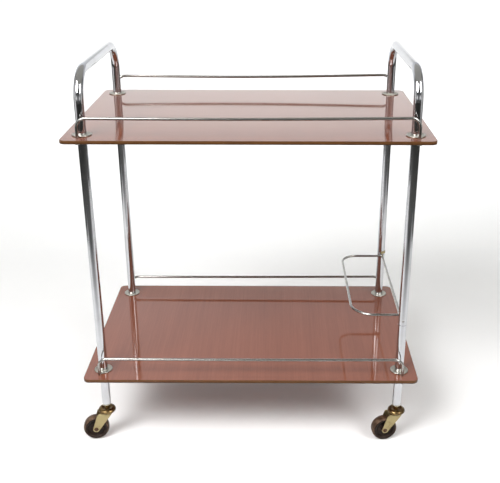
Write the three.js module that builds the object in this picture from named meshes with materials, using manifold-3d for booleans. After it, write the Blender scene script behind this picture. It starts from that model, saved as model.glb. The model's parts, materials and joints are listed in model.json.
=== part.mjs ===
// Bar cart on casters: two chromed tube hoops carry two equal wood-grain trays.
// Thin guard rails stand along the front and rear of each tray, a wire bottle ring hangs
// between the right-hand legs, and each leg ends in a brass swivel caster.
// Millimetres, +Z up, +X right, -Y front. The casters trail to the left and stand out past the trays
// there, so the origin, on the floor under the middle of the whole outline, is a little to the left
// of the trays' own middle.
import * as THREE from "three";
import { mergeVertices } from "three/addons/utils/BufferGeometryUtils.js";
import Module from "manifold-3d";

const wasm = await Module();
wasm.setup();

// Driving dimensions
const GAP = 0.3; // clearance left between touching pieces
const TRAY = { length: 650, depth: 421, thick: 6.5, corner: 12, middle: 120, lap: 4, upperTop: 634, lowerTop: 158 };
const POST = { x: 292.4, y: 170.6, r: 8, wall: 1.2, foot: 80, sides: 16 };
const HOOP = { axisTop: 742, bend: 52, bendSteps: 6 };
const JOINT = { z: 261, seam: 0.4, spigotLength: 70, buttonZ: 270.5, buttonR: 2.6, buttonHeight: 1.4 };
const COLLAR = { upperRim: 17.5, lowerRim: 14, rimThick: 0.9, crown: 11, height: 2.6, sides: 16 };
const RAIL = { r: 2.6, rise: 34.5, bend: 16, bendSteps: 4, outboard: 3.5, offset: 20.6, sides: 8 };
const RAIL_NUT = { r: 5.5, height: 5, sides: 10 };
const RING = { r: 2.5, z: 261, right: 294, left: 200, rear: 157, front: -133, sides: 8 };
const RING_CORNER = { rear: 34, front: 45, steps: 5 };
const CLIP = { thick: 1.4, height: 6, bottom: 264, from: -1.75, to: 0.45, steps: 6 };
const WHEEL = { r: 25.5, width: 19, bevel: 1.8, bore: 2.9, trail: 24, sides: 24 };
const SWIVEL = THREE.MathUtils.degToRad(9);
const STEM = { r: 4, top: 108, bottom: 55.9 };
const SOCKET = { flangeR: 8.3, waistR: 7.7, tipR: 6.3, waist: 75.5, tip: 72.2, bore: 4.5, top: 104, sides: 14 };
const HOOD = { r: 17.2, bottom: 60, dish: 8.4, dishZ: 68.4, crownZ: 69.6, bore: 10.4, sides: 18 };
const FORK = { half: 10.2, thick: 1.5, bridgeTop: 59.7, bridgeThick: 1.8, boss: 6.6, front: 9, back: -19.5, shoulder: 4 };
const AXLE = { r: 2.5, headR: 4.3, headHeight: 1.6, sides: 12 };

const COLOURS = {
  chrome: [0xd4d7d9, 0.14, 1],
  zinc: [0xb9bcbd, 0.35, 1],
  brass: [0x9c8550, 0.38, 1],
  laminate: [0x8a5142, 0.25, 0],
  wheel: [0x2b1c17, 0.45, 0],
  steel: [0x4b423b, 0.5, 0.8],
};

const CORNERS = [
  { name: "front_left", sx: -1, sy: -1 },
  { name: "front_right", sx: 1, sy: -1 },
  { name: "rear_left", sx: -1, sy: 1 },
  { name: "rear_right", sx: 1, sy: 1 },
];
const LEVELS = [
  { name: "upper", top: TRAY.upperTop },
  { name: "lower", top: TRAY.lowerTop },
];

const cart = new THREE.Group();
cart.name = "bar_cart";
const treadHalf = WHEEL.width / 2 - WHEEL.bevel;
const leftReach = POST.x + (WHEEL.trail + WHEEL.r) * Math.cos(SWIVEL) + treadHalf * Math.sin(SWIVEL);
cart.position.x = (leftReach - TRAY.length / 2) / 2;

function add(name, geometry, finish, parent = cart) {
  const [color, roughness, metalness] = COLOURS[finish];
  const material = new THREE.MeshStandardMaterial({ color, roughness, metalness });
  const mesh = new THREE.Mesh(geometry, material);
  mesh.name = name;
  parent.add(mesh);
  return mesh;
}

// A bent rod or tube runs through corner points; each inner corner is rounded with its own radius.
// Steps are spent only in the bends, so a straight run is a single step.
class BentPath extends THREE.Curve {
  constructor(points, radii, stepsPerBend) {
    super();
    this.stops = [points[0]];
    for (let i = 1; i < points.length - 1; i += 1) {
      this.stops.push(...roundCorner(points[i - 1], points[i], points[i + 1], radii[i - 1], stepsPerBend));
    }
    this.stops.push(points[points.length - 1]);
    this.steps = this.stops.length - 1;
  }

  getPoint(t) {
    return this.stops[Math.round(t * this.steps)].clone();
  }

  getPointAt(u) {
    return this.getPoint(u);
  }

  // At a stop the section stands square to the mean of the two runs that meet there.
  getTangent(t) {
    const i = Math.round(t * this.steps);
    const before = this.stops[Math.max(i - 1, 0)];
    const here = this.stops[i];
    const after = this.stops[Math.min(i + 1, this.steps)];
    const incoming = here.clone().sub(before).normalize();
    const outgoing = after.clone().sub(here).normalize();
    return incoming.add(outgoing).normalize();
  }

  getTangentAt(u) {
    return this.getTangent(u);
  }
}

function roundCorner(before, corner, after, radius, steps) {
  const toBefore = before.clone().sub(corner).normalize();
  const toAfter = after.clone().sub(corner).normalize();
  const half = toBefore.angleTo(toAfter) / 2;
  const centreWay = toBefore.clone().add(toAfter).normalize();
  const centre = corner.clone().addScaledVector(centreWay, radius / Math.sin(half));
  const start = corner.clone().addScaledVector(toBefore, radius / Math.tan(half));
  const spoke = start.clone().sub(centre);
  const axis = toBefore.clone().cross(toAfter).normalize();
  const sweep = Math.PI - 2 * half;
  const points = [];
  for (let i = 0; i <= steps; i += 1) {
    points.push(centre.clone().add(spoke.clone().applyAxisAngle(axis, (-sweep * i) / steps)));
  }
  return points;
}

function circle(radius, sides, hole = false) {
  const shape = hole ? new THREE.Path() : new THREE.Shape();
  for (let i = 0; i <= sides; i += 1) {
    const angle = (2 * Math.PI * i) / sides;
    const x = radius * Math.cos(angle);
    const y = radius * Math.sin(angle);
    if (i === 0) shape.moveTo(x, y);
    else shape.lineTo(x, y);
  }
  return shape;
}

function sweep(path, radius, sides, innerRadius = 0) {
  const section = circle(radius, sides);
  if (innerRadius > 0) section.holes.push(circle(innerRadius, sides, true));
  return new THREE.ExtrudeGeometry(section, { extrudePath: path, steps: path.steps, curveSegments: 1 });
}

// Turned pieces: (radius, height) pairs spun about Z. A bored piece's profile closes on itself.
function turned(profile, sides, bored = false) {
  const points = profile.map(([r, z]) => new THREE.Vector2(r, z));
  if (bored) points.push(points[0].clone());
  return new THREE.LatheGeometry(points, sides).rotateX(Math.PI / 2);
}

function place(geometry, x, y, z) {
  return geometry.translate(x, y, z);
}

// Joining and cutting, for the few pieces that are not a plain sweep or turning
function toManifold(geometry) {
  const bare = geometry.clone();
  bare.deleteAttribute("normal");
  bare.deleteAttribute("uv");
  const merged = mergeVertices(bare, 1e-4);
  const vertProperties = new Float32Array(merged.attributes.position.array);
  const triVerts = new Uint32Array(merged.index.array);
  return new wasm.Manifold(new wasm.Mesh({ numProp: 3, vertProperties, triVerts }));
}

function toGeometry(solid) {
  const mesh = solid.getMesh();
  const geometry = new THREE.BufferGeometry();
  geometry.setAttribute("position", new THREE.BufferAttribute(new Float32Array(mesh.vertProperties), 3));
  geometry.setIndex(new THREE.BufferAttribute(new Uint32Array(mesh.triVerts), 1));
  return geometry;
}

// Hoops: front leg, bend, handle bar running front to back, bend, rear leg. The right-hand legs are
// jointed at a seam over a spigot, and the front one's spring button shows above its seam.
function hoopPath(side, footFront, footRear) {
  const x = side * POST.x;
  const corners = [
    new THREE.Vector3(x, -POST.y, footFront),
    new THREE.Vector3(x, -POST.y, HOOP.axisTop),
    new THREE.Vector3(x, POST.y, HOOP.axisTop),
    new THREE.Vector3(x, POST.y, footRear),
  ];
  return new BentPath(corners, [HOOP.bend, HOOP.bend], HOOP.bendSteps);
}

function straightTube(bottom, top) {
  const inner = POST.r - POST.wall;
  const profile = [[inner, bottom], [POST.r, bottom], [POST.r, top], [inner, top]];
  return turned(profile, POST.sides, true);
}

function addHoops() {
  const inner = POST.r - POST.wall;
  add("hoop_left", sweep(hoopPath(-1, POST.foot, POST.foot), POST.r, POST.sides, inner), "chrome");
  const seamTop = JOINT.z + JOINT.seam;
  add("hoop_right", sweep(hoopPath(1, seamTop, seamTop), POST.r, POST.sides, inner), "chrome");
  for (const { name, sy } of CORNERS.filter(({ sx }) => sx > 0)) {
    add(`leg_${name}`, place(straightTube(POST.foot, JOINT.z), POST.x, sy * POST.y, 0), "chrome");
    const bottom = JOINT.z - JOINT.spigotLength / 2;
    const top = JOINT.z + JOINT.spigotLength / 2;
    const r = inner - GAP;
    const spigot = turned([[0, bottom], [r, bottom], [r, top], [0, top]], POST.sides);
    add(`leg_spigot_${name}`, place(spigot, POST.x, sy * POST.y, 0), "zinc");
  }
  const { buttonR, buttonHeight, buttonZ } = JOINT;
  const button = turned([[0, 0], [buttonR, 0], [buttonR / 2, buttonHeight], [0, buttonHeight]], 10);
  button.rotateX(Math.PI / 2);
  add("leg_button_front_right", place(button, POST.x, -POST.y - POST.r - GAP, buttonZ), "chrome");
}

// Trays: flat boards with rounded corners, drilled for the four legs and the rail ends
function railFoot(sx, sy) {
  return { x: sx * (POST.x + RAIL.outboard), y: sy * (POST.y + RAIL.offset) };
}

function drillBit(x, y, radius, sides) {
  const bit = new THREE.CylinderGeometry(radius, radius, 4 * TRAY.thick, sides);
  return toManifold(bit.rotateX(Math.PI / 2).translate(x, y, 0));
}

// One end of the board, from the plain middle out to the two rounded corners
function trayEnd(side) {
  const halfX = TRAY.length / 2;
  const halfY = TRAY.depth / 2;
  const r = TRAY.corner;
  const shape = new THREE.Shape();
  shape.moveTo(TRAY.middle, -halfY);
  shape.lineTo(halfX - r, -halfY);
  shape.absarc(halfX - r, -halfY + r, r, -Math.PI / 2, 0, false);
  shape.absarc(halfX - r, halfY - r, r, 0, Math.PI / 2, false);
  shape.lineTo(TRAY.middle, halfY);
  const end = new THREE.ExtrudeGeometry(shape, { depth: TRAY.thick, bevelEnabled: false, curveSegments: 4 });
  return toManifold(side > 0 ? end : end.rotateZ(Math.PI));
}

function trayGeometry(top) {
  const middle = new THREE.BoxGeometry(2 * TRAY.middle + TRAY.lap, TRAY.depth, TRAY.thick);
  middle.translate(0, 0, TRAY.thick / 2);
  let board = toManifold(middle).add(trayEnd(-1)).add(trayEnd(1));
  for (const { sx, sy } of CORNERS) {
    const foot = railFoot(sx, sy);
    board = board.subtract(drillBit(sx * POST.x, sy * POST.y, POST.r + 2 * GAP, POST.sides));
    board = board.subtract(drillBit(foot.x, foot.y, RAIL.r + 2 * GAP, RAIL.sides));
  }
  return place(toGeometry(board), 0, 0, top - TRAY.thick);
}

// Collars: dished washers that trap the tray on each leg, one above it and one below
function collarGeometry(rim) {
  const bore = POST.r + 1.2 * GAP;
  const profile = [
    [bore, 0],
    [rim, 0],
    [rim, COLLAR.rimThick],
    [COLLAR.crown, COLLAR.height],
    [bore, COLLAR.height],
  ];
  return turned(profile, COLLAR.sides, true);
}

function addTray({ name, top }) {
  add(`tray_${name}`, trayGeometry(top), "laminate");
  for (const corner of CORNERS) {
    const x = corner.sx * POST.x;
    const y = corner.sy * POST.y;
    const above = collarGeometry(COLLAR.upperRim);
    add(`collar_${name}_${corner.name}`, place(above, x, y, top + GAP), "chrome");
    const under = collarGeometry(COLLAR.lowerRim).rotateX(Math.PI);
    add(`under_collar_${name}_${corner.name}`, place(under, x, y, top - TRAY.thick - GAP), "zinc");
  }
}

// Guard rails: a thin rod whose ends turn down, pass through the tray and take a nut below it
function addRails({ name, top }) {
  const nutTop = top - TRAY.thick - GAP;
  const rodEnd = nutTop - RAIL_NUT.height / 2;
  for (const { label, sy } of [{ label: "front", sy: -1 }, { label: "rear", sy: 1 }]) {
    const left = railFoot(-1, sy);
    const right = railFoot(1, sy);
    const corners = [
      new THREE.Vector3(left.x, left.y, rodEnd),
      new THREE.Vector3(left.x, left.y, top + RAIL.rise),
      new THREE.Vector3(right.x, right.y, top + RAIL.rise),
      new THREE.Vector3(right.x, right.y, rodEnd),
    ];
    const path = new BentPath(corners, [RAIL.bend, RAIL.bend], RAIL.bendSteps);
    add(`rail_${name}_${label}`, sweep(path, RAIL.r, RAIL.sides), "chrome");
  }
  for (const corner of CORNERS) {
    const foot = railFoot(corner.sx, corner.sy);
    const socket = RAIL.r + 1.2 * GAP;
    const floor = rodEnd - GAP;
    const nut = turned(
      [
        [0, nutTop - RAIL_NUT.height],
        [RAIL_NUT.r, nutTop - RAIL_NUT.height],
        [RAIL_NUT.r, nutTop],
        [socket, nutTop],
        [socket, floor],
        [0, floor],
      ],
      RAIL_NUT.sides,
    );
    add(`rail_nut_${name}_${corner.name}`, place(nut, foot.x, foot.y, 0), "zinc");
  }
}

// A saddle clip hugs the front and the outer side of the rear leg, just above the ring's rod.
function clipGeometry() {
  const inner = POST.r + GAP;
  const outer = inner + CLIP.thick;
  const shape = new THREE.Shape();
  shape.absarc(0, 0, outer, CLIP.from, CLIP.to, false);
  shape.absarc(0, 0, inner, CLIP.to, CLIP.from, true);
  shape.closePath();
  const options = { depth: CLIP.height, bevelEnabled: false, curveSegments: CLIP.steps };
  return new THREE.ExtrudeGeometry(shape, options);
}

// Bottle ring: a rod between the right-hand legs, level with their seams, and a wire bail welded to
// the rod's inner side
function addBottleRing() {
  const reach = POST.y - POST.r - GAP;
  const at = (x, y) => new THREE.Vector3(x, y, RING.z);
  const rod = new BentPath([at(RING.right, -reach), at(RING.right, reach)], [], 1);
  add("ring_rod", sweep(rod, RING.r, RING.sides), "chrome");
  const weld = RING.right - RING.r - GAP;
  const corners = [at(weld, RING.rear), at(RING.left, RING.rear), at(RING.left, RING.front), at(weld, RING.front)];
  const bail = new BentPath(corners, [RING_CORNER.rear, RING_CORNER.front], RING_CORNER.steps);
  add("ring_bail", sweep(bail, RING.r, RING.sides), "chrome");
  add("ring_clip_rear", place(clipGeometry(), POST.x, POST.y, CLIP.bottom), "brass");
}

// Casters: chromed socket in the tube end, brass hood turned in one with the stem, fork, axle, wheel
function socketGeometry() {
  const sleeve = POST.r - POST.wall - GAP;
  const profile = [
    [SOCKET.bore, SOCKET.tip],
    [SOCKET.tipR, SOCKET.tip],
    [SOCKET.waistR, SOCKET.waist],
    [SOCKET.flangeR, POST.foot - GAP - 1.5],
    [SOCKET.flangeR, POST.foot - GAP],
    [sleeve, POST.foot - GAP],
    [sleeve, SOCKET.top],
    [SOCKET.bore, SOCKET.top],
  ];
  return turned(profile, SOCKET.sides, true);
}

// The hood is a flattened bead with a shallow dish in its top, round the stem.
function hoodGeometry() {
  const { r, bottom, dish, dishZ, crownZ, bore, sides } = HOOD;
  const ceiling = dishZ - 3.4;
  const profile = [
    [0, STEM.bottom],
    [STEM.r, STEM.bottom],
    [STEM.r, ceiling],
    [bore, ceiling - 1],
    [bore, bottom],
    [r - 4.4, bottom],
    [r - 1.3, bottom + 2],
    [r, bottom + 4.8],
    [r - 1.3, crownZ - 2],
    [r - 5, crownZ],
    [dish, dishZ],
    [STEM.r, dishZ],
    [STEM.r, STEM.top],
    [0, STEM.top],
  ];
  return turned(profile, sides);
}

// One cheek of the fork: wide under the hood and tapering back to a round end about the axle
function cheekGeometry(yInner) {
  const axleX = -WHEEL.trail;
  const shape = new THREE.Shape();
  shape.moveTo(FORK.back + FORK.shoulder, FORK.bridgeTop);
  shape.quadraticCurveTo(FORK.back, FORK.bridgeTop, FORK.back - 1, FORK.bridgeTop - FORK.shoulder);
  shape.lineTo(axleX - FORK.boss, WHEEL.r);
  shape.absarc(axleX, WHEEL.r, FORK.boss, Math.PI, 2 * Math.PI + 0.35, false);
  shape.lineTo(FORK.front, FORK.bridgeTop);
  shape.closePath();
  const cheek = new THREE.ExtrudeGeometry(shape, { depth: FORK.thick, bevelEnabled: false, curveSegments: 5 });
  return cheek.rotateX(Math.PI / 2).translate(0, yInner, 0);
}

function forkGeometry() {
  const outer = FORK.half + FORK.thick;
  const bridgeBack = FORK.back + FORK.shoulder;
  const bridge = new THREE.BoxGeometry(FORK.front - bridgeBack, 2 * outer, FORK.bridgeThick);
  bridge.translate((FORK.front + bridgeBack) / 2, 0, FORK.bridgeTop - FORK.bridgeThick / 2);
  const pinHole = new THREE.CylinderGeometry(STEM.r + 1.2 * GAP, STEM.r + 1.2 * GAP, 20, HOOD.sides);
  pinHole.rotateX(Math.PI / 2).translate(0, 0, FORK.bridgeTop);
  const axleHole = new THREE.CylinderGeometry(AXLE.r + GAP, AXLE.r + GAP, 4 * outer, AXLE.sides);
  axleHole.translate(-WHEEL.trail, 0, WHEEL.r);
  const solid = toManifold(cheekGeometry(-FORK.half))
    .add(toManifold(cheekGeometry(outer)))
    .add(toManifold(bridge))
    .subtract(toManifold(pinHole))
    .subtract(toManifold(axleHole));
  return toGeometry(solid);
}

function axleGeometry() {
  const seat = FORK.half + FORK.thick + GAP;
  const end = seat + AXLE.headHeight;
  const profile = [
    [0, -end],
    [AXLE.headR / 2, -end],
    [AXLE.headR, -seat],
    [AXLE.r, -seat],
    [AXLE.r, seat],
    [AXLE.headR, seat],
    [AXLE.headR / 2, end],
    [0, end],
  ];
  return turned(profile, AXLE.sides).rotateX(Math.PI / 2);
}

// The wheel is sized across its flats and turned so that one flat rests on the floor.
function wheelGeometry() {
  const tread = WHEEL.r / Math.cos(Math.PI / WHEEL.sides);
  const half = WHEEL.width / 2;
  const hub = 6;
  const web = 4.5;
  const rimInner = 18;
  const { bevel } = WHEEL;
  const profile = [
    [WHEEL.bore, -half],
    [hub, -half],
    [hub, -web],
    [rimInner, -web],
    [rimInner, -half],
    [tread - bevel, -half],
    [tread, -half + bevel],
    [tread, half - bevel],
    [tread - bevel, half],
    [rimInner, half],
    [rimInner, web],
    [hub, web],
    [hub, half],
    [WHEEL.bore, half],
  ];
  const wheel = turned(profile, WHEEL.sides, true);
  return wheel.rotateX(Math.PI / 2).rotateY(Math.PI / WHEEL.sides);
}

// Each caster trails behind its leg, turned a little towards the front as it was last pushed.
function addCaster({ name, sx, sy }) {
  const x = sx * POST.x;
  const y = sy * POST.y;
  const turnedFork = forkGeometry().rotateZ(SWIVEL);
  const atAxle = (geometry) => geometry.translate(-WHEEL.trail, 0, WHEEL.r).rotateZ(SWIVEL);
  add(`caster_socket_${name}`, place(socketGeometry(), x, y, 0), "chrome");
  add(`caster_hood_${name}`, place(hoodGeometry(), x, y, 0), "brass");
  add(`caster_fork_${name}`, place(turnedFork, x, y, 0), "brass");
  add(`caster_axle_${name}`, place(atAxle(axleGeometry()), x, y, 0), "steel");
  add(`caster_wheel_${name}`, place(atAxle(wheelGeometry()), x, y, 0), "wheel");
}

addHoops();
for (const level of LEVELS) {
  addTray(level);
  addRails(level);
}
addBottleRing();
for (const corner of CORNERS) {
  addCaster(corner);
}

export default cart;
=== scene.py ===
"""A mid-century bar cart: chromed tube hoops, wood-grain trays, guard rails, bottle ring and casters.

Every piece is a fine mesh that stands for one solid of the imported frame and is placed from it.
Blender units are metres; the sizes below are in millimetres times MM.
"""
import json
import math

import bmesh
import bpy
from mathutils import Matrix, Vector

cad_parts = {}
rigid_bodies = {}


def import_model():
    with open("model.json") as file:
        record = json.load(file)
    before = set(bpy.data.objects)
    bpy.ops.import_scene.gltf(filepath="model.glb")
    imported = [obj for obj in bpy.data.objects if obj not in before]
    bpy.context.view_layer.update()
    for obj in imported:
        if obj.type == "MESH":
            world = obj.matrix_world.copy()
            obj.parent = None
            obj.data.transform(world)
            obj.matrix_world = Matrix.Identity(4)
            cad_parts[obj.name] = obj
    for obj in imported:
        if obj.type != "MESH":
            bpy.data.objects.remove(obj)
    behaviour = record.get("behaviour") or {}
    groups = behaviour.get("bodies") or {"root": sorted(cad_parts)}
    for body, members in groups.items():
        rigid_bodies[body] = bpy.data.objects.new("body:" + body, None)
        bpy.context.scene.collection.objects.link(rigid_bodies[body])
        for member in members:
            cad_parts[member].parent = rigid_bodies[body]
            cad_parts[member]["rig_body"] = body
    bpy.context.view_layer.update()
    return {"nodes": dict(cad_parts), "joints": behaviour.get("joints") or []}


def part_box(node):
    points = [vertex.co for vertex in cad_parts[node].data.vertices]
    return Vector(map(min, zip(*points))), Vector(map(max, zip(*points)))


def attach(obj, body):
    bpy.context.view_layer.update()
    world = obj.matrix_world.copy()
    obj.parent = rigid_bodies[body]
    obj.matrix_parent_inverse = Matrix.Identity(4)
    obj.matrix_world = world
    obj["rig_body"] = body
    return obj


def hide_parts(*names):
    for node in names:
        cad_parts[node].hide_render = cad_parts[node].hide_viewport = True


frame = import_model()

MM = 0.001
CORNERS = {"front_left": (-1, -1), "front_right": (1, -1), "rear_left": (-1, 1), "rear_right": (1, 1)}
LEVELS = ("upper", "lower")
SIDES = {"front": -1, "rear": 1}


def centre(node):
    low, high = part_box(node)
    return (low + high) / 2


def extent(node):
    low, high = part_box(node)
    return high - low


# Places and sizes that the frame gives
LEG = {name: centre(f"caster_socket_{name}").to_2d().to_3d() for name in CORNERS}
NOMINAL_R = extent("leg_front_right").x / 2
TUBE_R = NOMINAL_R + 0.55 * MM  # the plated tube is a little over its nominal size
TUBE_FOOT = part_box("leg_front_right")[0].z
SEAM_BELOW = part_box("leg_front_right")[1].z
SEAM_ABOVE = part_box("hoop_right")[0].z
BAR_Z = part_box("hoop_left")[1].z - NOMINAL_R
TRAY_TOP = {level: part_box(f"tray_{level}")[1].z for level in LEVELS}
TRAY_THICK = extent("tray_upper").z
CART_MIDDLE = centre("tray_upper")
RAIL_R = extent("rail_upper_front").y / 2 + 0.15 * MM
WHEEL_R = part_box("caster_wheel_front_left")[1].z / 2
TRAIL = (centre("caster_axle_front_left") - LEG["front_left"]).to_2d().length

# Sizes of the shapes that only the look needs
HOOP_BEND = 52 * MM
BAR_LIFT = {"left": -0.8 * MM, "right": 2.0 * MM}  # the two hoops were not bent quite alike
TRAY_CORNER = 12 * MM
RAIL_BEND = 16 * MM
# How the hand-bent guard rails stray from true: lift at left and right, sag between, lean outward
RAIL_STRAY = {
    ("upper", "rear"): (-2.8 * MM, 0.2 * MM, 3.1 * MM, 12 * MM),
    ("upper", "front"): (-0.4 * MM, 1.4 * MM, 1.6 * MM, 0),
    ("lower", "rear"): (-2.9 * MM, -0.8 * MM, 0.7 * MM, 2.2 * MM),
    ("lower", "front"): (0.9 * MM, 0.7 * MM, 0.8 * MM, 0),
}
RING_BEND = {"rear": 34 * MM, "front": 45 * MM}


# ---------------------------------------------------------------- camera

CAMERA_OFFSET = Vector((46.5, -1530.2, 0)) * MM
CAMERA_HEIGHT = 998 * MM
CAMERA_PITCH = math.radians(22.58)
CAMERA_YAW = math.radians(0.144)
CAMERA_ROLL = math.radians(0.102)
CAMERA_LENS = 57.4
CAMERA_SHIFT = -0.0464


def make_camera():
    data = bpy.data.cameras.new("camera")
    data.sensor_width = 36
    data.lens = CAMERA_LENS
    data.shift_x = CAMERA_SHIFT
    camera = bpy.data.objects.new("camera", data)
    bpy.context.scene.collection.objects.link(camera)
    turn = Matrix.Rotation(CAMERA_YAW, 4, "Z")
    turn = turn @ Matrix.Rotation(math.pi / 2 - CAMERA_PITCH, 4, "X")
    turn = turn @ Matrix.Rotation(CAMERA_ROLL, 4, "Z")
    spot = Vector((CART_MIDDLE.x, CART_MIDDLE.y, CAMERA_HEIGHT)) + CAMERA_OFFSET
    camera.matrix_world = Matrix.Translation(spot) @ turn
    bpy.context.scene.camera = camera


# ---------------------------------------------------------------- materials

class Recipe:
    """A node material being put together. Patterns are laid out in the piece's own coordinates."""

    def __init__(self, name, **sockets):
        self.material = bpy.data.materials.new(name)
        self.material.use_nodes = True
        self.tree = self.material.node_tree
        self.shader = self.tree.nodes["Principled BSDF"]
        self.place = self.tree.nodes.new("ShaderNodeTexCoord").outputs["Object"]
        for socket, value in sockets.items():
            self.shader.inputs[socket.replace("_", " ")].default_value = value

    def link(self, source, target):
        self.tree.links.new(source, target)

    def stretched(self, stretch):
        mapping = self.tree.nodes.new("ShaderNodeMapping")
        mapping.inputs["Scale"].default_value = stretch
        self.link(self.place, mapping.inputs["Vector"])
        return mapping.outputs["Vector"]

    def noise(self, scale, detail=3.0, roughness=0.5, stretch=(1, 1, 1), distortion=0.0):
        node = self.tree.nodes.new("ShaderNodeTexNoise")
        node.inputs["Scale"].default_value = scale
        node.inputs["Detail"].default_value = detail
        node.inputs["Roughness"].default_value = roughness
        node.inputs["Distortion"].default_value = distortion
        self.link(self.stretched(stretch), node.inputs["Vector"])
        return node.outputs["Fac"]

    def spots(self, scale):
        node = self.tree.nodes.new("ShaderNodeTexVoronoi")
        node.inputs["Scale"].default_value = scale
        self.link(self.place, node.inputs["Vector"])
        return node.outputs["Distance"]

    def ramp(self, value, *stops):
        node = self.tree.nodes.new("ShaderNodeValToRGB")
        elements = node.color_ramp.elements
        while len(elements) < len(stops):
            elements.new(0.5)
        for element, (position, shade) in zip(elements, stops):
            element.position = position
            element.color = (*shade, 1) if isinstance(shade, tuple) else (shade, shade, shade, 1)
        self.link(value, node.inputs["Fac"])
        return node.outputs["Color"]

    def band(self, value, low, high, out_low=0.0, out_high=1.0):
        node = self.tree.nodes.new("ShaderNodeMapRange")
        node.inputs["From Min"].default_value = low
        node.inputs["From Max"].default_value = high
        node.inputs["To Min"].default_value = out_low
        node.inputs["To Max"].default_value = out_high
        self.link(value, node.inputs["Value"])
        return node.outputs["Result"]

    def combine(self, operation, first, second):
        node = self.tree.nodes.new("ShaderNodeMath")
        node.operation = operation
        for socket, value in zip(node.inputs, (first, second)):
            if isinstance(value, (int, float)):
                socket.default_value = value
            else:
                self.link(value, socket)
        return node.outputs[0]

    def mix(self, amount, first, second, blend="MIX"):
        node = self.tree.nodes.new("ShaderNodeMix")
        node.data_type = "RGBA"
        node.blend_type = blend
        sockets = (node.inputs[0], node.inputs[6], node.inputs[7])
        for socket, value in zip(sockets, (amount, first, second)):
            if isinstance(value, tuple):
                socket.default_value = (*value, 1)
            elif isinstance(value, (int, float)):
                socket.default_value = value
            else:
                self.link(value, socket)
        return node.outputs[2]

    def bump(self, height, depth, strength=1.0):
        node = self.tree.nodes.new("ShaderNodeBump")
        node.inputs["Strength"].default_value = strength
        node.inputs["Distance"].default_value = depth
        self.link(height, node.inputs["Height"])
        self.link(node.outputs["Normal"], self.shader.inputs["Normal"])

    def paint(self, **sockets):
        for socket, source in sockets.items():
            self.link(source, self.shader.inputs[socket.replace("_", " ")])
        return self.material


def chrome_material(name, bright, dull, gloss, pitting):
    """Plated steel: a clear mirror, cloudy where it is handled, with a few tiny rust pits."""
    recipe = Recipe(name, Metallic=1.0)
    haze = recipe.noise(38, detail=6, roughness=0.62)
    fine = recipe.noise(420, detail=2)
    pits = recipe.band(recipe.spots(310), 0.02, 0.16 * pitting, 1.0, 0.0)
    patches = recipe.band(recipe.noise(17, detail=4), 0.52, 0.66)
    pits = recipe.combine("MULTIPLY", pits, patches)
    colour = recipe.mix(recipe.band(haze, 0.38, 0.72), bright, dull)
    colour = recipe.mix(pits, colour, (0.16, 0.11, 0.08))
    rough = recipe.combine("ADD", recipe.band(haze, 0.4, 0.75, gloss, gloss + 0.09), 0.0)
    rough = recipe.combine("ADD", rough, recipe.combine("MULTIPLY", pits, 0.45))
    height = recipe.combine("SUBTRACT", recipe.combine("MULTIPLY", fine, 0.04), pits)
    recipe.bump(height, 0.00006)
    return recipe.paint(Base_Color=colour, Roughness=rough)


def laminate_material(name, gloss, tint=1.0):
    """Decorative board with fine straight grain running front to back under a clear gloss coat."""
    if gloss:
        recipe = Recipe(name, Specular_IOR_Level=0.25, Coat_Weight=0.71, Coat_Roughness=0.045)
    else:
        recipe = Recipe(name, Specular_IOR_Level=0.1, Coat_Weight=0.15, Coat_Roughness=0.35)
    recipe.shader.inputs["Specular Tint"].default_value = (1.0, 0.40, 0.20, 1)
    streaks = recipe.noise(1, detail=5, roughness=0.62, stretch=(330, 3.2, 40))
    threads = recipe.noise(1, detail=3, roughness=0.7, stretch=(1150, 16, 90))
    figure = recipe.noise(1, detail=4, roughness=0.55, stretch=(42, 1.7, 8), distortion=0.35)
    pores = recipe.band(recipe.noise(1, detail=2, stretch=(1500, 55, 200)), 0.60, 0.74)
    browns = (0.30, (0.166, 0.054, 0.031)), (0.50, (0.190, 0.062, 0.035)), (0.70, (0.214, 0.071, 0.041))
    shades = [(place, tuple(channel * tint for channel in brown)) for place, brown in browns]
    colour = recipe.ramp(recipe.mix(0.42, streaks, figure), *shades)
    darker = recipe.band(threads, 0.35, 0.7, 0.90, 1.05)
    colour = recipe.mix(1.0, colour, darker, blend="MULTIPLY")
    colour = recipe.mix(recipe.combine("MULTIPLY", pores, 0.3), colour, (0.12, 0.040, 0.026))
    cloud = recipe.noise(9, detail=5, roughness=0.6)
    rough = recipe.band(cloud, 0.3, 0.75, 0.07 if gloss else 0.4, 0.13 if gloss else 0.5)
    height = recipe.combine("ADD", recipe.combine("MULTIPLY", streaks, 0.5), recipe.noise(6, detail=2))
    recipe.bump(height, 0.00012, 0.35)
    return recipe.paint(Base_Color=colour, Roughness=rough)


def edging_material(name, top):
    """The bare lipping round a board: orange-brown, ribbed along its length and darker towards its
    lower edge.
    """
    recipe = Recipe(name, Specular_IOR_Level=0.15, Coat_Weight=0.12, Coat_Roughness=0.35)
    lines = recipe.noise(1, detail=3, stretch=(16, 16, 1300))
    blotch = recipe.noise(28, detail=5, roughness=0.65)
    colour = recipe.ramp(lines, (0.3, (0.075, 0.031, 0.010)), (0.7, (0.124, 0.053, 0.017)))
    colour = recipe.mix(recipe.band(blotch, 0.45, 0.72, 0.0, 0.5), colour, (0.062, 0.025, 0.009))
    height = recipe.tree.nodes.new("ShaderNodeSeparateXYZ")
    recipe.link(recipe.place, height.inputs[0])
    # The colour is multiplied darker towards the lower edge of the lipping, by height alone.
    darker_below = recipe.band(height.outputs["Z"], top - TRAY_THICK, top - TRAY_THICK * 0.55, 0.35, 1.0)
    colour = recipe.mix(1.0, colour, darker_below, blend="MULTIPLY")
    recipe.bump(lines, 0.0001, 0.5)
    return recipe.paint(Base_Color=colour, Roughness=recipe.band(blotch, 0.3, 0.7, 0.32, 0.5))


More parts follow.
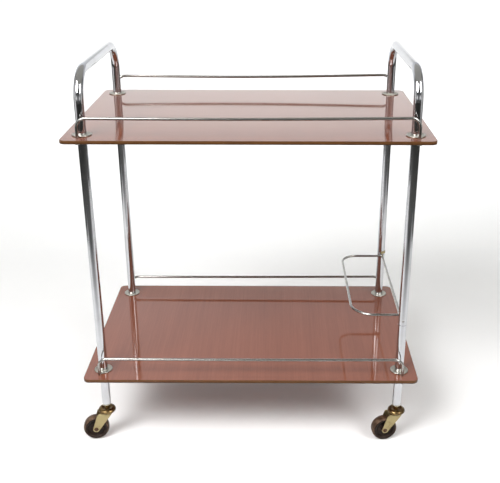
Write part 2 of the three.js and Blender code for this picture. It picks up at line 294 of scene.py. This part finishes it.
def brass_material(name, clean, tarnish, gloss, age):
    """Old brass plate: warm metal under a brown bloom that gathers in patches, with fine scratches."""
    recipe = Recipe(name, Metallic=1.0)
    bloom = recipe.noise(95, detail=7, roughness=0.68)
    grain = recipe.noise(900, detail=3, roughness=0.6)
    specks = recipe.band(recipe.spots(520), 0.05, 0.22, 1.0, 0.0)
    mottle = recipe.combine("MULTIPLY", specks, recipe.band(bloom, 0.48, 0.6))
    colour = recipe.mix(recipe.band(bloom, 0.62 - age, 0.86 - age), clean, tarnish)
    colour = recipe.mix(recipe.combine("MULTIPLY", mottle, 0.6), colour, (0.07, 0.045, 0.025))
    rough = recipe.band(bloom, 0.35, 0.75, gloss, gloss + 0.22)
    height = recipe.combine("ADD", recipe.combine("MULTIPLY", grain, 0.3), bloom)
    recipe.bump(height, 0.00009, 0.5)
    return recipe.paint(Base_Color=colour, Roughness=rough)


def wheel_material(name, dark, dusty, dust):
    """Moulded dark brown wheel, chalky with floor dust where it rolls."""
    recipe = Recipe(name, Specular_IOR_Level=0.2)
    smear = recipe.noise(130, detail=6, roughness=0.66)
    grain = recipe.noise(1400, detail=2)
    colour = recipe.mix(recipe.band(smear, 0.66 - dust, 0.92 - dust), dark, dusty)
    rough = recipe.band(smear, 0.3, 0.75, 0.34, 0.62)
    height = recipe.combine("ADD", recipe.combine("MULTIPLY", grain, 0.4), smear)
    recipe.bump(height, 0.00015, 0.5)
    return recipe.paint(Base_Color=colour, Roughness=rough)


CHROME = chrome_material("chrome", (0.57, 0.575, 0.60), (0.50, 0.503, 0.515), 0.055, 0.8)
CHROME_ROD = chrome_material("chrome_rod", (0.43, 0.425, 0.41), (0.32, 0.305, 0.28), 0.19, 1.1)
COLLAR_PLATE = chrome_material("collar_plate", (0.50, 0.485, 0.44), (0.38, 0.355, 0.30), 0.38, 1.3)
ZINC = chrome_material("zinc_plate", (0.56, 0.56, 0.54), (0.42, 0.41, 0.38), 0.3, 1.4)
SOCKET_PLATE = chrome_material("socket_plate", (0.62, 0.58, 0.47), (0.45, 0.40, 0.30), 0.24, 1.3)
LAMINATE = laminate_material("tray_laminate", gloss=True)
BACKING = laminate_material("tray_backing", gloss=False, tint=0.85)
EDGING = {level: edging_material(f"tray_edging_{level}", TRAY_TOP[level]) for level in LEVELS}
BRASS_HOOD = brass_material("brass_hood", (0.25, 0.172, 0.075), (0.07, 0.039, 0.017), 0.24, 0.24)
BRASS_PLATE = brass_material("brass_plate", (0.40, 0.33, 0.175), (0.20, 0.145, 0.066), 0.38, 0.08)
WHEEL_CORE = wheel_material("wheel_core", (0.014, 0.007, 0.004), (0.070, 0.040, 0.025), 0.12)
WHEEL_TREAD = wheel_material("wheel_tread", (0.042, 0.022, 0.012), (0.15, 0.090, 0.055), 0.22)
RIVET = brass_material("dark_rivet", (0.11, 0.066, 0.044), (0.04, 0.023, 0.016), 0.4, 0.1)


# ---------------------------------------------------------------- shapes

def round_corners(points, radii, steps):
    """A path through the points whose inner corners are arcs of the given radii."""
    path = [points[0]]
    for before, corner, after, radius in zip(points, points[1:], points[2:], radii):
        to_before = (before - corner).normalized()
        to_after = (after - corner).normalized()
        half = to_before.angle(to_after) / 2
        middle = corner + (to_before + to_after).normalized() * (radius / math.sin(half))
        spoke = corner + to_before * (radius / math.tan(half)) - middle
        axis = to_before.cross(to_after).normalized()
        sweep = math.pi - 2 * half
        for i in range(steps + 1):
            path.append(middle + Matrix.Rotation(-sweep * i / steps, 3, axis) @ spoke)
    path.append(points[-1])
    return path


def subdivide(path, longest):
    """The path with extra points, so that no run is longer than the given length."""
    fine = [path[0]]
    for a, b in zip(path, path[1:]):
        count = max(1, math.ceil((b - a).length / longest))
        fine.extend(a.lerp(b, (i + 1) / count) for i in range(count))
    return fine


def circle_section(radius, sides):
    angles = (2 * math.pi * i / sides for i in range(sides))
    return [(radius * math.cos(angle), radius * math.sin(angle)) for angle in angles]


def swept(path, section, plane_normal, bevel=0.0, swell=None):
    """A closed section carried along a planar path, with softened ends. swell(i) scales the section."""
    side = Vector(plane_normal).normalized()
    rings = []
    for i, point in enumerate(path):
        tangent = (path[min(i + 1, len(path) - 1)] - path[max(i - 1, 0)]).normalized()
        across = side.cross(tangent).normalized()
        scale = swell(i) if swell else 1.0
        rings.append((point, across, tangent, scale))
    stations = []
    if bevel:
        point, across, tangent, scale = rings[0]
        stations.append((point, across, scale * (1 - bevel)))
        rings[0] = (point + tangent * bevel * TUBE_R * 0.5, across, tangent, scale)
        point, across, tangent, scale = rings[-1]
        last = (point, across, scale * (1 - bevel))
        rings[-1] = (point - tangent * bevel * TUBE_R * 0.5, across, tangent, scale)
    stations.extend((point, across, scale) for point, across, tangent, scale in rings)
    if bevel:
        stations.append(last)
    bm = bmesh.new()
    loops = []
    for point, across, scale in stations:
        loops.append([bm.verts.new(point + (across * u + side * v) * scale) for u, v in section])
    for first, second in zip(loops, loops[1:]):
        for i in range(len(section)):
            j = (i + 1) % len(section)
            bm.faces.new((first[i], first[j], second[j], second[i]))
    bm.faces.new(list(reversed(loops[0])))
    bm.faces.new(loops[-1])
    bmesh.ops.recalc_face_normals(bm, faces=bm.faces)
    return bm


def turned(profile, segments, bored=False):
    """(radius, height) pairs spun about Z. A profile that isn't bored starts and ends on the axis."""
    bm = bmesh.new()
    columns = []
    for radius, height in profile:
        if radius < 1e-7:
            columns.append([bm.verts.new((0, 0, height))])
            continue
        angles = (2 * math.pi * i / segments for i in range(segments))
        column = [bm.verts.new((radius * math.cos(a), radius * math.sin(a), height)) for a in angles]
        columns.append(column)
    pairs = list(zip(columns, columns[1:]))
    if bored:
        pairs.append((columns[-1], columns[0]))
    for lower, upper in pairs:
        for i in range(segments):
            j = (i + 1) % segments
            corners = [lower[i % len(lower)], lower[j % len(lower)]]
            corners += [upper[j % len(upper)], upper[i % len(upper)]]
            corners = list(dict.fromkeys(corners))
            if len(corners) > 2:
                bm.faces.new(corners)
    bmesh.ops.recalc_face_normals(bm, faces=bm.faces)
    return bm


def scaled(profile):
    return [(r * MM, z * MM) for r, z in profile]


def finish_piece(bm, node, material, place=None, more_materials=(), sharp=34):
    """Makes the mesh an object that stands for the CAD node and rides on its body."""
    if place is not None:
        bm.transform(place if isinstance(place, Matrix) else Matrix.Translation(place))
    mesh = bpy.data.meshes.new(f"look_{node}")
    bm.to_mesh(mesh)
    bm.free()
    mesh.shade_smooth()
    mesh.set_sharp_from_angle(angle=math.radians(sharp))
    for entry in (material, *more_materials):
        mesh.materials.append(entry)
    piece = bpy.data.objects.new(f"look_{node}", mesh)
    bpy.context.scene.collection.objects.link(piece)
    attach(piece, frame["nodes"][node]["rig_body"])
    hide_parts(node)
    return piece


# ---------------------------------------------------------------- hoops and legs

def make_hoops():
    section = circle_section(TUBE_R, 40)
    for side in ("left", "right"):
        x = LEG[f"front_{side}"].x
        foot = TUBE_FOOT if side == "left" else SEAM_ABOVE
        front = LEG[f"front_{side}"].y
        rear = LEG[f"rear_{side}"].y
        bar = BAR_Z + BAR_LIFT[side]
        turns = ((front, foot), (front, bar), (rear, bar), (rear, foot))
        corners = [Vector((x, y, z)) for y, z in turns]
        path = subdivide(round_corners(corners, [HOOP_BEND, HOOP_BEND], 24), 40 * MM)
        finish_piece(swept(path, section, (1, 0, 0), bevel=0.05), f"hoop_{side}", CHROME)
    for name in ("front_right", "rear_right"):
        low = LEG[name] + Vector((0, 0, TUBE_FOOT))
        high = LEG[name] + Vector((0, 0, SEAM_BELOW))
        leg = swept(subdivide([low, high], 40 * MM), section, (1, 0, 0), bevel=0.05)
        finish_piece(leg, f"leg_{name}", CHROME)
        frame["nodes"][f"leg_spigot_{name}"].data.materials.clear()
        frame["nodes"][f"leg_spigot_{name}"].data.materials.append(ZINC)
    make_leg_button()


def make_leg_button():
    """The domed head of the spring button that locks the lower part of the front right leg."""
    node = "leg_button_front_right"
    dome = [(0, 1.4), (0.9, 1.36), (1.8, 1.05), (2.3, 0.6), (2.5, 0.2), (2.6, -0.4), (0, -0.4)]
    spot = centre(node)
    place = Matrix.Translation((spot.x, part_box(node)[1].y, spot.z))
    place = place @ Matrix.Rotation(math.pi / 2, 4, "X")
    finish_piece(turned(scaled(dome), 24), node, CHROME_ROD, place)


# ---------------------------------------------------------------- trays

def tray_outline(half_x, half_y, radius, inset, steps=14):
    points = []
    for turn, (sx, sy) in enumerate(((1, 1), (-1, 1), (-1, -1), (1, -1))):
        middle = Vector((sx * (half_x - radius), sy * (half_y - radius)))
        for i in range(steps + 1):
            angle = math.pi / 2 * (turn + i / steps)
            points.append(middle + Vector((math.cos(angle), math.sin(angle))) * (radius - inset))
    return points


def hole_outline(spot, radius, sides=24):
    return [spot + Vector(point) for point in circle_section(radius, sides)]


def make_tray(level):
    """A board with softened arrises, bored for the legs and the rail ends."""
    node = f"tray_{level}"
    low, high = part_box(node)
    size = extent(node)
    middle = centre(node)
    holes = []
    for name in CORNERS:
        holes.append((LEG[name].to_2d() - middle.to_2d(), TUBE_R + 0.3 * MM))
        nut = centre(f"rail_nut_{level}_{name}")
        holes.append((nut.to_2d() - middle.to_2d(), RAIL_R + 0.3 * MM))
    arris = 0.7 * MM
    turns = (0, math.pi / 6, math.pi / 3, math.pi / 2)
    rounding = [(arris * (1 - math.sin(a)), arris * (1 - math.cos(a))) for a in turns]
    levels = [(inset, low.z + drop) for inset, drop in rounding]
    levels += [(inset, high.z - drop) for inset, drop in reversed(rounding)]
    bm = bmesh.new()
    caps = {0: [], len(levels) - 1: []}

    def wall(outline_at):
        rings = []
        for inset, z in levels:
            ring = [bm.verts.new((middle.x + p.x, middle.y + p.y, z)) for p in outline_at(inset)]
            rings.append(ring)
        for lower, upper in zip(rings, rings[1:]):
            for i in range(len(lower)):
                j = (i + 1) % len(lower)
                face = bm.faces.new((lower[i], lower[j], upper[j], upper[i]))
                face.material_index = 1
        for index in caps:
            ring = rings[index]
            around = zip(ring, ring[1:] + ring[:1])
            caps[index].extend(bm.edges.get(pair) for pair in around)

    wall(lambda inset: tray_outline(size.x / 2, size.y / 2, TRAY_CORNER, inset))
    for spot, radius in holes:
        wall(lambda inset, spot=spot, radius=radius: hole_outline(spot, radius))
    for index, edges in caps.items():
        filled = bmesh.ops.triangle_fill(bm, use_beauty=True, edges=edges, normal=(0, 0, 1))
        for item in filled["geom"]:
            if isinstance(item, bmesh.types.BMFace):
                item.material_index = 0 if index else 2
        for edge in edges:
            edge.smooth = False
    bmesh.ops.recalc_face_normals(bm, faces=bm.faces)
    piece = finish_piece(bm, node, LAMINATE, more_materials=(EDGING[level], BACKING))
    for polygon in piece.data.polygons:
        if polygon.material_index != 1:
            polygon.use_smooth = False


def collar_profile(rim, crown):
    """A thin dished washer: a rolled rim, a shallow hollow and a low lip that grips the leg."""
    bore = TUBE_R / MM + 0.15
    width = rim - bore
    return [
        (bore, 0.3),
        (rim - 0.10 * width, 0.3),
        (rim - 0.03 * width, 0.5),
        (rim, 1.0),
        (rim - 0.014 * width, 1.5),
        (rim - 0.07 * width, 1.95),
        (rim - 0.15 * width, 2.05),
        (rim - 0.23 * width, 1.9),
        (rim - 0.32 * width, 1.6),
        (rim - 0.43 * width, 1.38),
        (rim - 0.66 * width, 1.3),
        (rim - 0.80 * width, 1.36),
        (rim - 0.89 * width, 1.6),
        (rim - 0.93 * width, crown - 0.3),
        (rim - 0.966 * width, crown),
        (bore, crown - 0.15),
    ]


def make_collars(level):
    for name in CORNERS:
        spot = Vector((LEG[name].x, LEG[name].y, TRAY_TOP[level]))
        collar = turned(scaled(collar_profile(17.5, 2.4)), 64, bored=True)
        finish_piece(collar, f"collar_{level}_{name}", COLLAR_PLATE, spot)
        under = turned(scaled(collar_profile(14.0, 2.4)), 48, bored=True)
        turn = Matrix.Translation(spot - Vector((0, 0, TRAY_THICK))) @ Matrix.Rotation(math.pi, 4, "X")
        finish_piece(under, f"under_collar_{level}_{name}", ZINC, turn)


# ---------------------------------------------------------------- guard rails

def make_rails(level):
    section = circle_section(RAIL_R, 20)
    for side, sign in SIDES.items():
        node = f"rail_{level}_{side}"
        low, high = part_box(node)
        y = centre(node).y
        left = low.x + RAIL_R
        right = high.x - RAIL_R
        top = high.z - RAIL_R
        foot = low.z
        lift_left, lift_right, sag, lean = RAIL_STRAY[level, side]
        corners = [Vector((left, y, foot)), Vector((left, y, top + lift_left))]
        corners += [Vector((right, y, top + lift_right)), Vector((right, y, foot))]
        path = subdivide(round_corners(corners, [RAIL_BEND, RAIL_BEND], 12), 4 * MM)
        standing = TRAY_TOP[level]
        for point in path:
            point.y += sign * lean * max(0.0, (point.z - standing) / (top - standing))
        half = (right - left) / 2
        for point in path:
            reach = (point.x - (left + right) / 2) / half
            point.z -= sag * max(0.0, 1 - reach * reach) ** 1.5
        finish_piece(swept(path, section, (0, 1, 0), bevel=0.1), node, CHROME_ROD)
    for name in CORNERS:
        make_rail_nut(f"rail_nut_{level}_{name}")


def make_rail_nut(node):
    """A hexagon nut with chamfered corners, threaded onto the end of the rail below the tray."""
    low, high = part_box(node)
    spot = centre(node)
    across = (high.x - low.x) / 2
    bore = RAIL_R + 0.15 * MM
    height = high.z - low.z
    chamfer = 0.7 * MM
    profile = [(bore, 0), (across - chamfer, 0), (across, chamfer * 0.6)]
    profile += [(across, height - chamfer * 0.6), (across - chamfer, height), (bore, height)]
    place = Vector((spot.x, spot.y, low.z))
    finish_piece(turned(profile, 6, bored=True), node, ZINC, place, sharp=20)


# ---------------------------------------------------------------- bottle ring

def make_bottle_ring():
    rod_low, rod_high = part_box("ring_rod")
    rod = centre("ring_rod")
    wire_r = (rod_high.z - rod_low.z) / 2
    section = circle_section(wire_r, 20)

    path = subdivide([Vector((rod.x, rod_low.y, rod.z)), Vector((rod.x, rod_high.y, rod.z))], 8 * MM)
    finish_piece(swept(path, section, (0, 0, 1)), "ring_rod", CHROME_ROD)
    low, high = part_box("ring_bail")
    rear = high.y - wire_r
    front = low.y + wire_r
    left = low.x + wire_r
    end = rod.x - wire_r * 0.7
    turns = ((end, rear), (left, rear), (left, front), (end, front))
    corners = [Vector((x, y, rod.z)) for x, y in turns]
    path = round_corners(corners, [RING_BEND["rear"], RING_BEND["front"]], 20)
    path = subdivide(path, 1.2 * MM)

    def weld(i):
        distance = min((path[i] - path[0]).length, (path[i] - path[-1]).length)
        return 1 + 0.34 * max(0.0, 1 - distance / (3.4 * MM)) ** 2

    finish_piece(swept(path, section, (0, 0, 1), swell=weld), "ring_bail", CHROME_ROD)
    make_clip()


def make_clip():
    """A brass saddle round the front and outer side of the rear leg, just above the ring."""
    low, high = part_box("ring_clip_rear")
    leg = LEG["rear_right"]
    half = (high.z - low.z) / 2
    z = (high.z + low.z) / 2
    outer = leg.y - low.y
    inner = TUBE_R + 0.1 * MM
    mid = (outer + inner) / 2
    start, stop = -1.75, 0.45
    count = 28
    angles = (start + (stop - start) * i / count for i in range(count + 1))
    path = [Vector((leg.x + mid * math.cos(a), leg.y + mid * math.sin(a), z)) for a in angles]
    thick = (outer - inner) / 2
    corner = 0.35 * MM
    u, v = thick - corner, half - corner
    section = [(-u, -half), (u, -half), (thick, -v), (thick, v)]
    section += [(u, half), (-u, half), (-thick, v), (-thick, -v)]
    finish_piece(swept(path, section, (0, 0, 1)), "ring_clip_rear", BRASS_PLATE)


# ---------------------------------------------------------------- casters

def make_socket(name):
    """A pressed ferrule that plugs the end of the leg and narrows to the stem."""
    node = f"caster_socket_{name}"
    low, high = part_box(node)
    sleeve = 6.4
    foot = TUBE_FOOT / MM
    tip = low.z / MM
    profile = [
        (4.5, tip),
        (5.6, tip),
        (6.1, tip + 0.25),
        (6.4, tip + 0.9),
        (7.0, tip + 2.4),
        (7.6, tip + 3.9),
        (7.9, tip + 4.6),
        (8.2, tip + 5.2),
        (8.3, tip + 6.0),
        (8.3, foot - 0.9),
        (8.1, foot - 0.45),
        (7.6, foot - 0.25),
        (sleeve, foot - 0.25),
        (sleeve, high.z / MM - 0.6),
        (sleeve - 0.5, high.z / MM),
        (4.5, high.z / MM),
    ]
    finish_piece(turned(scaled(profile), 40, bored=True), node, SOCKET_PLATE, LEG[name])


def make_hood(name):
    """The flattened bead over the caster's bearing, dished on top, with its stem."""
    node = f"caster_hood_{name}"
    low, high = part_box(node)
    bottom = low.z / MM
    top = high.z / MM
    lip = 60.0
    crown = 69.6
    half = (crown - lip) / 2
    bead = []
    for i in range(21):
        angle = math.radians(-78 + 172 * i / 20)
        bead.append((11.0 + 6.2 * math.cos(angle), lip + half + half * math.sin(angle)))
    profile = [
        (0, bottom),
        (3.4, bottom),
        (4.0, bottom + 0.6),
        (4.0, 65.0),
        (9.8, 64.6),
        (10.4, 63.8),
        (10.4, lip + 0.4),
        (10.8, lip),
        *bead,
        (9.6, crown - 0.25),
        (8.6, crown - 0.75),
        (7.6, crown - 1.1),
        (6.0, crown - 1.25),
        (4.6, crown - 1.2),
        (4.0, crown - 0.9),
        (4.0, top - 1.2),
        (3.2, top),
        (0, top),
    ]
    finish_piece(turned(scaled(profile), 64), node, BRASS_HOOD, LEG[name], sharp=40)


FORK_OUTER = 11.7
FORK_THICK = 1.5
FORK_BEND = 2.6
FORK_BOSS = 6.6
FORK_BACK = -19.5
FORK_FRONT = 9.0
FORK_SHOULDER = 4.0


def fork_edges(z, crown):
    """Where the fork's cheek begins and ends behind and before the stem at a height, in millimetres."""
    axle_z = WHEEL_R / MM
    trail = TRAIL / MM
    tangent = 0.42
    foot_x = -trail + FORK_BOSS * math.cos(tangent)
    foot_z = axle_z - FORK_BOSS * math.sin(tangent)
    back = -trail - FORK_BOSS
    back += (z - axle_z) / (crown - axle_z) * (FORK_BACK - back)
    front = foot_x + (z - foot_z) / (crown - foot_z) * (FORK_FRONT - foot_x)
    chord = math.sqrt(max(0.0, FORK_BOSS ** 2 - (z - axle_z) ** 2))
    if z < axle_z:
        back = -trail - chord
    if z < foot_z:
        front = -trail + chord
    below_shoulder = crown - FORK_SHOULDER
    if z > below_shoulder:
        rise = min(1.0, (z - below_shoulder) / FORK_SHOULDER)
        back += FORK_SHOULDER * (1 - math.sqrt(1 - rise * rise))
    return back, front


def make_fork(name):
    """Sheet brass bent into a U: two tapering cheeks with round ends and a bridge under the hood."""
    node = f"caster_fork_{name}"
    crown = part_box(node)[1].z / MM
    axle_z = WHEEL_R / MM
    inner_bend = FORK_BEND - FORK_THICK
    heights = [axle_z - FORK_BOSS * math.cos(math.radians(10 + 80 * i / 14)) for i in range(15)]
    heights += [axle_z + (crown - FORK_BEND - axle_z) * (i + 1) / 20 for i in range(20)]
    stations = []
    for z in heights:
        stations.append((*fork_edges(z, crown), -FORK_OUTER, z, -FORK_OUTER + FORK_THICK, z))
    for i in range(1, 11):
        angle = math.pi / 2 * i / 10
        y = -FORK_OUTER + FORK_BEND * (1 - math.cos(angle))
        z = crown - FORK_BEND * (1 - math.sin(angle))
        y_in = -FORK_OUTER + FORK_BEND - inner_bend * math.cos(angle)
        z_in = crown - FORK_BEND + inner_bend * math.sin(angle)
        stations.append((*fork_edges(z, crown), y, z, y_in, z_in))
    for back, front, y, z, y_in, z_in in reversed(stations[:]):
        stations.append((back, front, -y, z, -y_in, z_in))
    columns = 12
    bm = bmesh.new()

    def skin(rows):
        grid = []
        for back, front, y, z in rows:
            xs = (back + (front - back) * i / columns for i in range(columns + 1))
            grid.append([bm.verts.new((x * MM, y * MM, z * MM)) for x in xs])
        return grid

    outside = skin([(back, front, y, z) for back, front, y, z, _, _ in stations])
    inside = skin([(back, front, y, z) for back, front, _, _, y, z in stations])
    for layer in (outside, inside):
        for first, second in zip(layer, layer[1:]):
            for i in range(columns):
                bm.faces.new((first[i], first[i + 1], second[i + 1], second[i]))
    for k in (0, columns):
        for a, b, c, d in zip(outside, outside[1:], inside[1:], inside):
            bm.faces.new((a[k], b[k], c[k], d[k]))
    for end in (0, -1):
        for i in range(columns):
            bm.faces.new((outside[end][i], outside[end][i + 1], inside[end][i + 1], inside[end][i]))
    bmesh.ops.recalc_face_normals(bm, faces=bm.faces)
    place = Matrix.Translation(LEG[name]) @ Matrix.Rotation(swivel_angle(name), 4, "Z")
    piece = finish_piece(bm, node, BRASS_PLATE, place, sharp=40)
    bevel = piece.modifiers.new("arris", "BEVEL")
    bevel.width = 0.28 * MM
    bevel.segments = 2
    bevel.limit_method = "ANGLE"
    bevel.angle_limit = math.radians(50)


def swivel_angle(name):
    """How far the caster is turned from straight back, read from its wheel's axle."""
    axis = next(joint for joint in frame["joints"] if joint["name"] == f"wheel_spin_{name}")["axis"]
    return math.atan2(-axis[0], axis[1])


def axle_place(name):
    turn = Matrix.Rotation(swivel_angle(name), 4, "Z") @ Matrix.Rotation(math.pi / 2, 4, "X")
    return Matrix.Translation(centre(f"caster_axle_{name}")) @ turn


def make_axle(name):
    node = f"caster_axle_{name}"
    seat = FORK_OUTER + 0.3
    head = [
        (4.2, seat),
        (4.25, seat + 0.35),
        (3.9, seat + 0.9),
        (3.0, seat + 1.35),
        (1.6, seat + 1.55),
        (1.3, seat + 1.35),
        (0.8, seat + 1.1),
        (0, seat + 1.05),
    ]
    profile = [(r, -z) for r, z in reversed(head)] + [(2.5, -seat), (2.5, seat)] + head
    finish_piece(turned(scaled(profile), 32), node, RIVET, axle_place(name))


def make_wheel(name):
    """A moulded wheel: crowned tread, rounded shoulders, a dished disc and a raised hub."""
    node = f"caster_wheel_{name}"
    tread = WHEEL_R / MM
    half = 9.5
    side = [
        (2.9, half - 0.2),
        (5.4, half - 0.2),
        (6.4, half - 0.7),
        (6.8, half - 1.8),
        (7.4, 5.2),
        (8.4, 4.4),
        (10.5, 4.1),
        (14.5, 4.1),
        (16.2, 4.5),
        (17.1, 5.6),
        (17.8, 7.6),
        (18.6, half - 0.9),
        (19.6, half - 0.25),
        (20.8, half),
        (22.2, half - 0.2),
        (23.5, half - 0.95),
        (24.5, half - 2.3),
        (25.1, half - 4.0),
        (25.4, half - 6.0),
        (tread, half - 8.6),
    ]
    profile = side + [(r, -y) for r, y in reversed(side)]
    bm = turned(scaled(profile), 72, bored=True)
    rolling = 22.0 * MM
    for face in bm.faces:
        spot = face.calc_center_median()
        face.material_index = 1 if math.hypot(spot.x, spot.y) > rolling else 0
    finish_piece(bm, node, WHEEL_CORE, axle_place(name), more_materials=(WHEEL_TREAD,))


# ---------------------------------------------------------------- studio

def stage_sheet(name, rows, material):
    """A stage surface woven from rows of points."""
    bm = bmesh.new()
    rows = [[bm.verts.new(point) for point in row] for row in rows]
    for first, second in zip(rows, rows[1:]):
        for i in range(len(first) - 1):
            bm.faces.new((first[i], first[i + 1], second[i + 1], second[i]))
    mesh = bpy.data.meshes.new(name)
    bm.to_mesh(mesh)
    bm.free()
    mesh.shade_smooth()
    mesh.materials.append(material)
    sheet = bpy.data.objects.new(name, mesh)
    bpy.context.scene.collection.objects.link(sheet)
    return sheet


def glow_band(recipe, axis, *stops):
    """A soft change along one axis of a stage surface, given as (position, level) stops."""
    split = recipe.tree.nodes.new("ShaderNodeSeparateXYZ")
    recipe.link(recipe.place, split.inputs[0])
    start, stop = stops[0][0], stops[-1][0]
    along = recipe.band(split.outputs[axis], start, stop)
    return recipe.ramp(along, *(((place - start) / (stop - start), level) for place, level in stops))


def paper_material():
    """White seamless paper that glows with painted light, brighter behind the cart and above the floor,
    and carries painted shade near its top and towards the front.
    """
    recipe = Recipe("sweep_paper", Roughness=0.9, Specular_IOR_Level=0.1, Emission_Strength=1.0)
    tone = recipe.ramp(recipe.noise(3, detail=3), (0.3, (0.86, 0.86, 0.865)), (0.7, (0.89, 0.89, 0.89)))
    away = glow_band(recipe, "Y", (0.3, 0.0), (0.8, 0.12), (1.4, 0.36), (2.3, 0.55), (3.2, 0.5))
    heights = ((0, 0), (0.3, 0.05), (0.7, 0.10), (1.0, 0.17), (1.5, 0.14), (1.68, 0))
    upward = glow_band(recipe, "Z", *heights)
    glow = recipe.mix(1.0, away, upward, blend="ADD")
    glow = recipe.mix(1.0, glow, (0.97, 0.985, 1.0), blend="MULTIPLY")
    # Painted shade: the paper's colour darkens near its top edge.
    shade = glow_band(recipe, "Z", (1.45, 1.0), (1.68, 0.3))
    tone = recipe.mix(1.0, tone, shade, blend="MULTIPLY")
    # Painted shade: the floor paper's colour darkens towards the front, as if the light fell off there.
    painted_front_shade = glow_band(recipe, "Y", (-1.25, 0.08), (-0.9, 0.4), (-0.5, 1.0))
    tone = recipe.mix(1.0, tone, painted_front_shade, blend="MULTIPLY")
    recipe.bump(recipe.noise(260, detail=2), 0.0001, 0.3)
    return recipe.paint(Base_Color=tone, Emission_Color=glow)


def wall_material():
    """The dim wall above the paper, washed with light on the left."""
    recipe = Recipe("back_wall", Roughness=0.85, Emission_Strength=1.25)
    tone = recipe.mix(recipe.noise(2.5, detail=4), (0.16, 0.16, 0.155), (0.14, 0.14, 0.135))
    wash = glow_band(recipe, "X", (-2.4, 0.85), (-0.9, 0.80), (0.1, 0.55), (1.5, 0.52))
    wash = recipe.mix(1.0, wash, (0.93, 0.95, 1.0), blend="MULTIPLY")
    recipe.bump(recipe.noise(90, detail=2), 0.0005, 0.2)
    return recipe.paint(Base_Color=tone, Emission_Color=wash)


def window_material():
    """The wall in front of the cart, lit in soft bands at chest height on both sides."""
    recipe = Recipe("front_wall", Roughness=0.85, Emission_Strength=1.0)
    tone = recipe.mix(recipe.noise(2.5, detail=4), (0.12, 0.12, 0.125), (0.10, 0.10, 0.105))
    height = glow_band(recipe, "Z", (0.5, 0.0), (0.95, 1.0), (1.25, 1.0), (1.9, 0.05))
    sides = glow_band(recipe, "X", (-4.5, 1), (-1.5, 1), (-1.0, 0.15), (0.9, 0.15), (1.5, 1), (4.5, 1))
    band = recipe.mix(1.0, height, sides, blend="MULTIPLY")
    recipe.bump(recipe.noise(90, detail=2), 0.0005, 0.2)
    return recipe.paint(Base_Color=tone, Emission_Color=band)


def plain_material(name, colour, glow):
    recipe = Recipe(name, Roughness=0.85, Emission_Strength=glow)
    tone = recipe.mix(recipe.noise(2.5, detail=4), colour, tuple(channel * 0.9 for channel in colour))
    recipe.bump(recipe.noise(90, detail=2), 0.0005, 0.2)
    return recipe.paint(Base_Color=tone, Emission_Color=tone)


PAPER_HALF = 1.36
PAPER_FLARE = 2.0
PAPER_FRONT = -1.3
PAPER_BEND_START = 2.3
PAPER_BEND = 0.9
PAPER_TOP = 1.68
ROOM_HALF = 4.5
ROOM_FRONT = -3.6
ROOM_HEIGHT = 3.0


def make_studio():
    """A white paper sweep, two softboxes and two reflector boards, with a dim room round them; the
    paper, walls, ceiling and boards glow with painted light.
    """
    profile = [(PAPER_FRONT, 0.0), (-0.4, 0.0), (0.4, 0.0), (PAPER_BEND_START, 0.0)]
    for i in range(1, 25):
        angle = math.pi / 2 * i / 24
        reach = PAPER_BEND_START + PAPER_BEND * math.sin(angle)
        profile.append((reach, PAPER_BEND * (1 - math.cos(angle))))
    profile.append((PAPER_BEND_START + PAPER_BEND, PAPER_TOP))
    rows = []
    for y, z in profile:
        half = PAPER_HALF + (PAPER_FLARE - PAPER_HALF) * min(1.0, max(0.0, (y - 0.4) / 1.6))
        rows.append([(-half, y, z), (half, y, z)])
    stage_sheet("sweep", rows, paper_material())
    span = (-ROOM_HALF, ROOM_HALF)
    below = -4 * MM
    floor = [[(x, y, below) for x in span] for y in span]
    stage_sheet("room_floor", floor, plain_material("room_floor", (0.10, 0.10, 0.095), 0.0))
    ceiling = [[(x, y, ROOM_HEIGHT) for x in span] for y in (ROOM_HALF, ROOM_FRONT)]
    # The ceiling glows: painted light from above.
    stage_sheet("ceiling", ceiling, plain_material("ceiling", (0.50, 0.49, 0.45), 0.45))
    back = [[(x, PAPER_BEND_START + PAPER_BEND + 0.1, z) for x in span] for z in (0.0, ROOM_HEIGHT)]
    stage_sheet("back_wall", back, wall_material())
    front = [[(x, ROOM_FRONT, z) for x in span] for z in (0.5, 1.9)]
    stage_sheet("front_wall", front, window_material())
    # The reflector boards glow: painted light standing in for the light they would bounce.
    for name, x, glow in (("board_left", -1.9, 0.45), ("board_right", 2.0, 0.2)):
        board = [[(x, y, z) for y in (-1.3, 0.3)] for z in (0.25, 1.9)]
        stage_sheet(name, board, plain_material(name, (0.8, 0.8, 0.8), glow))
    lights = (
        ("key_left", (-1.15, -1.51, 2.12), (0.0, 0.0, 0.2), (1.3, 1.25), 26),
        ("key_right", (1.7, -1.4, 2.02), (0.0, 0.0, 0.2), (1.1, 1.2), 13.5),
    )
    for name, spot, target, (width, depth), power in lights:
        data = bpy.data.lights.new(name, "AREA")
        data.shape = "RECTANGLE"
        data.size = width
        data.size_y = depth
        data.energy = power
        data.spread = math.radians(100)
        lamp = bpy.data.objects.new(name, data)
        aim = Vector(target) - Vector(spot)
        lamp.matrix_world = Matrix.Translation(spot) @ aim.to_track_quat("-Z", "Y").to_matrix().to_4x4()
        bpy.context.scene.collection.objects.link(lamp)
    world = bpy.data.worlds.new("room")
    bpy.context.scene.world = world
    world.use_nodes = True
    background = world.node_tree.nodes["Background"]
    background.inputs["Color"].default_value = (0.12, 0.12, 0.115, 1)
    background.inputs["Strength"].default_value = 1.0
    bpy.context.scene.view_settings.view_transform = "Standard"


make_camera()
make_hoops()
for level in LEVELS:
    make_tray(level)
    make_collars(level)
    make_rails(level)
make_bottle_ring()
for corner in CORNERS:
    make_socket(corner)
    make_hood(corner)
    make_fork(corner)
    make_axle(corner)
    make_wheel(corner)
make_studio()
